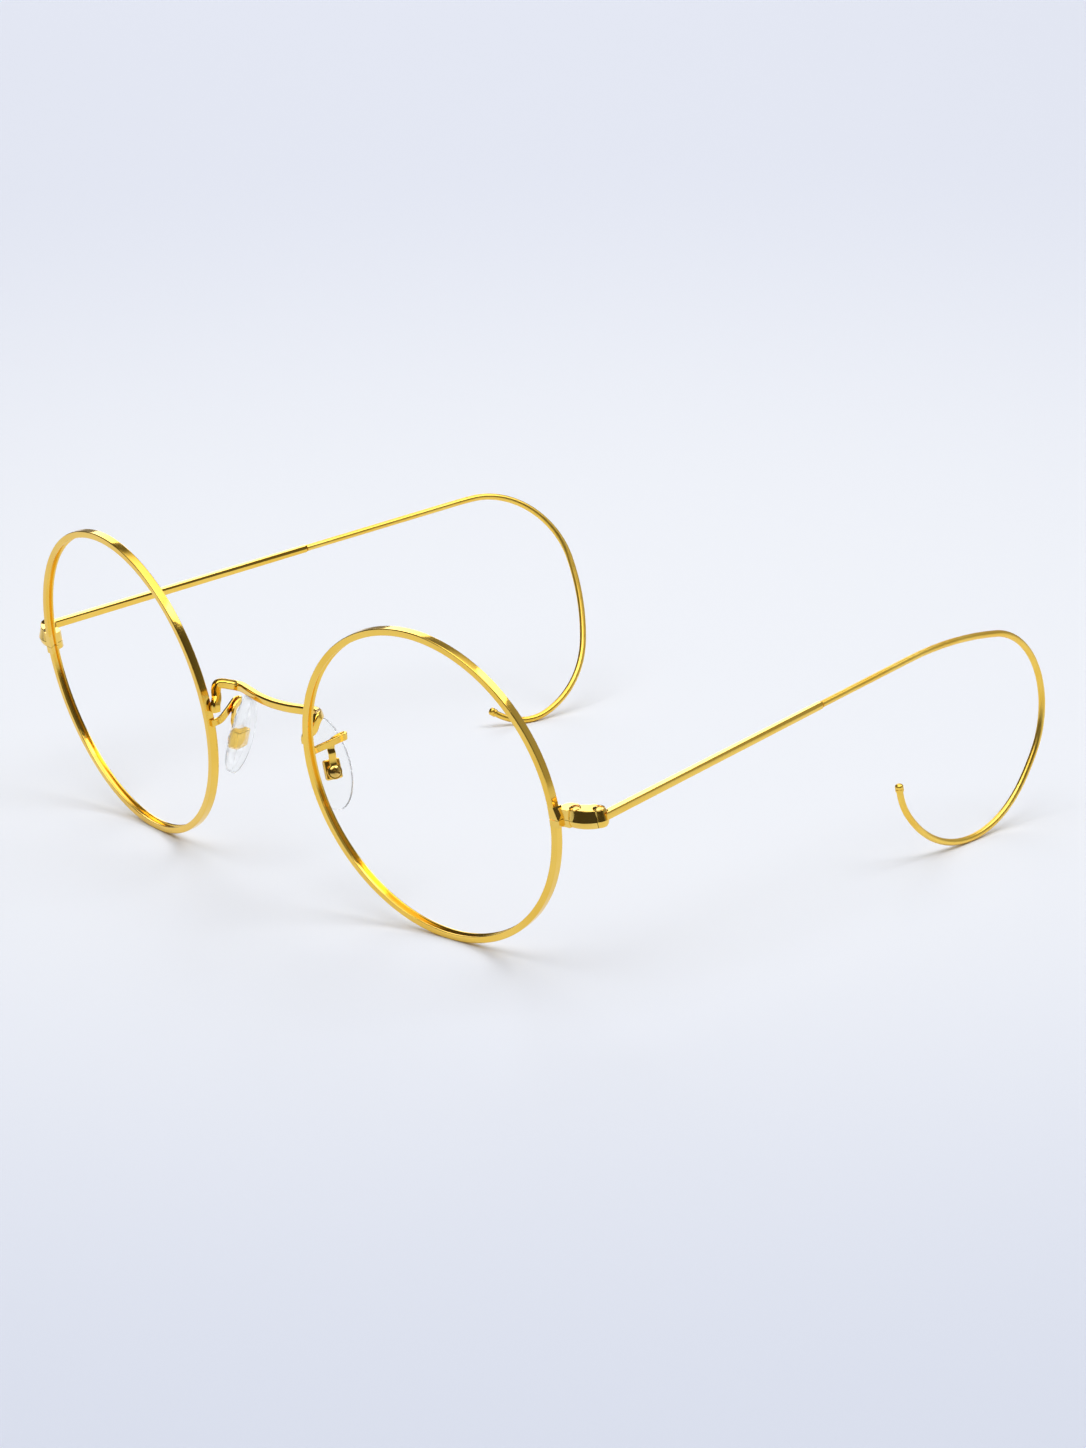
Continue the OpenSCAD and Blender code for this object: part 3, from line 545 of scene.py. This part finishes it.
armSize = {"thick": 0.45, "wide": 1.1, "edge": 0.12, "soft": 0.3, "eye": 1.12, "hole": 0.44, "seam": 0.02,
           "start": -0.1, "run": 1, "lift": 0.4, "steps": 6, "round": 48, "smooth": 50}
armBend = [(0.4, 3.7, 0.6), (1.2, 5.5, 1), (1.35, 6.2, 1.05), (0.95, 6.45, 1.05), (0.6, 6.1, 1),
           (0.35, 5.2, 0.8), (0.1, 4.5, 0.4), (0.05, 4.2, -0.4)]
armDrop = [(0.55, 0, 2.6), (0.22, 0, 1.8), (0.08, 0, 0.9)]


def makeArm(side):
    # a flat strip soldered to the rim, bent back and down to the pad, with a pierced eye
    size = armSize
    radius = rimOut + size["thick"] / 2 + size["seam"]
    half = rimSize["depth"] / 2
    points = [rimPoint(180, radius, size["start"]), rimPoint(180, radius, half),
              rimPoint(180 - size["lift"], radius, half + size["run"])]
    points += [nasal + Vector(p) for p in armBend]
    points += [eyeAt / mm + padTurn.to_3x3() @ Vector(p) for p in armDrop]
    line = [p * mm for p in smoothLine(points, size["steps"])]
    bm = bmesh.new()
    sweptBar(bm, line, (1, 0, 0), size["thick"], size["wide"], size["edge"])
    eye = bmesh.new()
    flat, edge, outer, hole = size["thick"] / 2, size["edge"], size["eye"], size["hole"]
    soft = edge * size["soft"]
    profile = [(hole, -flat), (outer - edge, -flat), (outer - soft, soft - flat), (outer, edge - flat),
               (outer, flat - edge), (outer - soft, flat - soft), (outer - edge, flat), (hole, flat),
               (hole, -flat)]
    spunProfile(eye, profile, size["round"])
    bmesh.ops.transform(eye, matrix=padPlace @ Matrix.Rotation(math.radians(90), 4, "Y"), verts=eye.verts)
    ring = bpy.data.meshes.new("eye")
    eye.to_mesh(ring)
    eye.free()
    bm.from_mesh(ring)
    bpy.data.meshes.remove(ring)
    finished(bm, "arm_" + side, "root", polishedGold, ["pad_arm_" + side], side,
             size["smooth"])


stemSize = {"softening": 0.05, "shortest": 8, "smooth": 30}

for side in sides:
    makeRim(side)
    makeCurl(side)
    makeArm(side)
    makePad(side)
    makeInsert(side)
    for part in ("upper", "lower"):
        half = dressed(f"end_piece_{part}_{side}", f"end_{part}_{side}", "root", plateGold)
        roundedSides(half, side)
    stem = dressed("temple_stem_" + side, "stem_" + side, "temple_" + side, polishedGold,
                   stemSize["softening"], stemSize["shortest"], stemSize["smooth"])
    roundedSides(stem, side)
    for screw in ("closing_screw", "hinge_screw", "pad_screw"):
        dressed(f"{screw}_{side}", f"{screw}_head_{side}", "root", screwGold)
makeBridge()
print("pieces made")

# table colours: pale round the object is a painted pool of light; deep further off and near towards the front are
# painted shade
floorLook = {"size": 8.0, "pale": (0.905, 0.934, 0.999), "deep": (0.795, 0.832, 0.945),
             "near": (0.705, 0.75, 0.875), "centre": (-0.05, 0.045, 0), "fade": (0.05, 0.45),
             "behind": (-0.30, 0.26, 0), "nearFade": (0.42, 0.68), "gloss": 0.6, "specular": 0.2}


def makeFloor():
    look = floorLook
    bm = bmesh.new()
    bmesh.ops.create_grid(bm, x_segments=1, y_segments=1, size=look["size"] / 2)
    mesh = bpy.data.meshes.new("table_top")
    bm.to_mesh(mesh)
    bm.free()
    material, graph = newMaterial("table_white")
    # a white sheet with painted light: its colour is brightest round the object as a painted pool of light, and
    # falls off to the back and to the front as painted shade
    place = graph.add("ShaderNodeTexCoord", out=3)
    away, near = (graph.add("ShaderNodeVectorMath", {"operation": "DISTANCE"},
                            {0: place, 1: look[spot]}, out=1) for spot in ("centre", "behind"))
    tint = graph.mixed(graph.step(away, *look["fade"]), (*look["pale"], 1), (*look["deep"], 1))
    tint = graph.mixed(graph.step(near, *look["nearFade"]), tint, (*look["near"], 1))
    shader = graph.add("ShaderNodeBsdfPrincipled", {}, {"Base Color": tint, "Roughness": look["gloss"],
                                                        "Specular IOR Level": look["specular"]})
    graph.add("ShaderNodeOutputMaterial", {}, {"Surface": shader})
    mesh.materials.append(material)
    floor = bpy.data.objects.new("table_top", mesh)
    bpy.context.scene.collection.objects.link(floor)


skyLook = {"horizon": (0.56, 0.57, 0.60), "dark": (0.060, 0.055, 0.050), "haze": (0.36, 0.355, 0.34),
           "overhead": (1.60, 1.60, 1.61), "open": (0.10, 0.80), "lit": (-0.25, 0.40),
           "bandLow": (-0.04, 0.06), "bandHigh": (0.80, 0.93)}
boxes = {
    "back": {"towards": (0.350, 0.417, 0.839), "far": 1.6, "wide": 1.1, "tall": 0.5, "radiance": 3.2},
    "side": {"towards": (-0.70, 0.49, 0.515), "far": 1.6, "wide": 0.8, "tall": 0.75, "radiance": 2.2},
    "front": {"towards": (0.15, -0.45, 0.88), "far": 1.8, "wide": 1.2, "tall": 1.2, "radiance": 1.9}}


def makeLight():
    # studio: dark in front, hazy walls and a lit horizon behind, a bright ceiling and three soft boxes
    look = skyLook
    world = bpy.data.worlds.new("studio")
    world.use_nodes = True
    bpy.context.scene.world = world
    graph = Graph(world.node_tree)
    direction = graph.add("ShaderNodeTexCoord")
    depth = graph.add("ShaderNodeSeparateXYZ", {}, {0: direction}, out=1)
    height = graph.add("ShaderNodeSeparateXYZ", {}, {0: direction}, out=2)
    wall = graph.mixed(graph.step(depth, *look["open"]), (*look["dark"], 1), (*look["haze"], 1))
    horizon = graph.mixed(graph.step(depth, *look["lit"]), (*look["dark"], 1), (*look["horizon"], 1))
    lower = graph.mixed(graph.step(height, *look["bandLow"]), horizon, wall)
    sky = graph.mixed(graph.step(height, *look["bandHigh"]), lower, (*look["overhead"], 1))
    glow = graph.add("ShaderNodeBackground", {}, {"Color": sky, "Strength": 1.0})
    graph.add("ShaderNodeOutputWorld", {}, {"Surface": glow})
    for name, box in boxes.items():
        lamp = bpy.data.lights.new("softbox_" + name, "AREA")
        lamp.shape = "RECTANGLE"
        lamp.size = box["wide"]
        lamp.size_y = box["tall"]
        lamp.energy = box["radiance"] * box["wide"] * box["tall"] * math.pi
        rig = bpy.data.objects.new("softbox_" + name, lamp)
        towards = Vector(box["towards"]).normalized()
        rig.matrix_world = (Matrix.Translation(towards * box["far"])
                            @ towards.to_track_quat("Z", "Y").to_matrix().to_4x4())
        bpy.context.scene.collection.objects.link(rig)


viewSize = {"place": (583.04, -501.09, 255.58), "turn": 49.24, "down": 17.45, "roll": -1.20,
            "lens": 132.2, "sensor": 36.0, "nearest": 0.01, "farthest": 50}


def makeCamera():
    # stands where the photo was taken from: millimetres and degrees
    size = viewSize
    camera = bpy.data.cameras.new("camera")
    camera.lens = size["lens"]
    camera.sensor_width = size["sensor"]
    camera.clip_start = size["nearest"]
    camera.clip_end = size["farthest"]
    rig = bpy.data.objects.new("camera", camera)
    rig.matrix_world = (Matrix.Translation(Vector(size["place"]) * mm)
                        @ Matrix.Rotation(math.radians(size["turn"]), 4, "Z")
                        @ Matrix.Rotation(math.radians(90 - size["down"]), 4, "X")
                        @ Matrix.Rotation(math.radians(size["roll"]), 4, "Z"))
    bpy.context.scene.collection.objects.link(rig)
    bpy.context.scene.camera = rig


makeFloor()
makeLight()
makeCamera()
bpy.context.scene.view_settings.view_transform = "Standard"
print("stage, light and camera made")
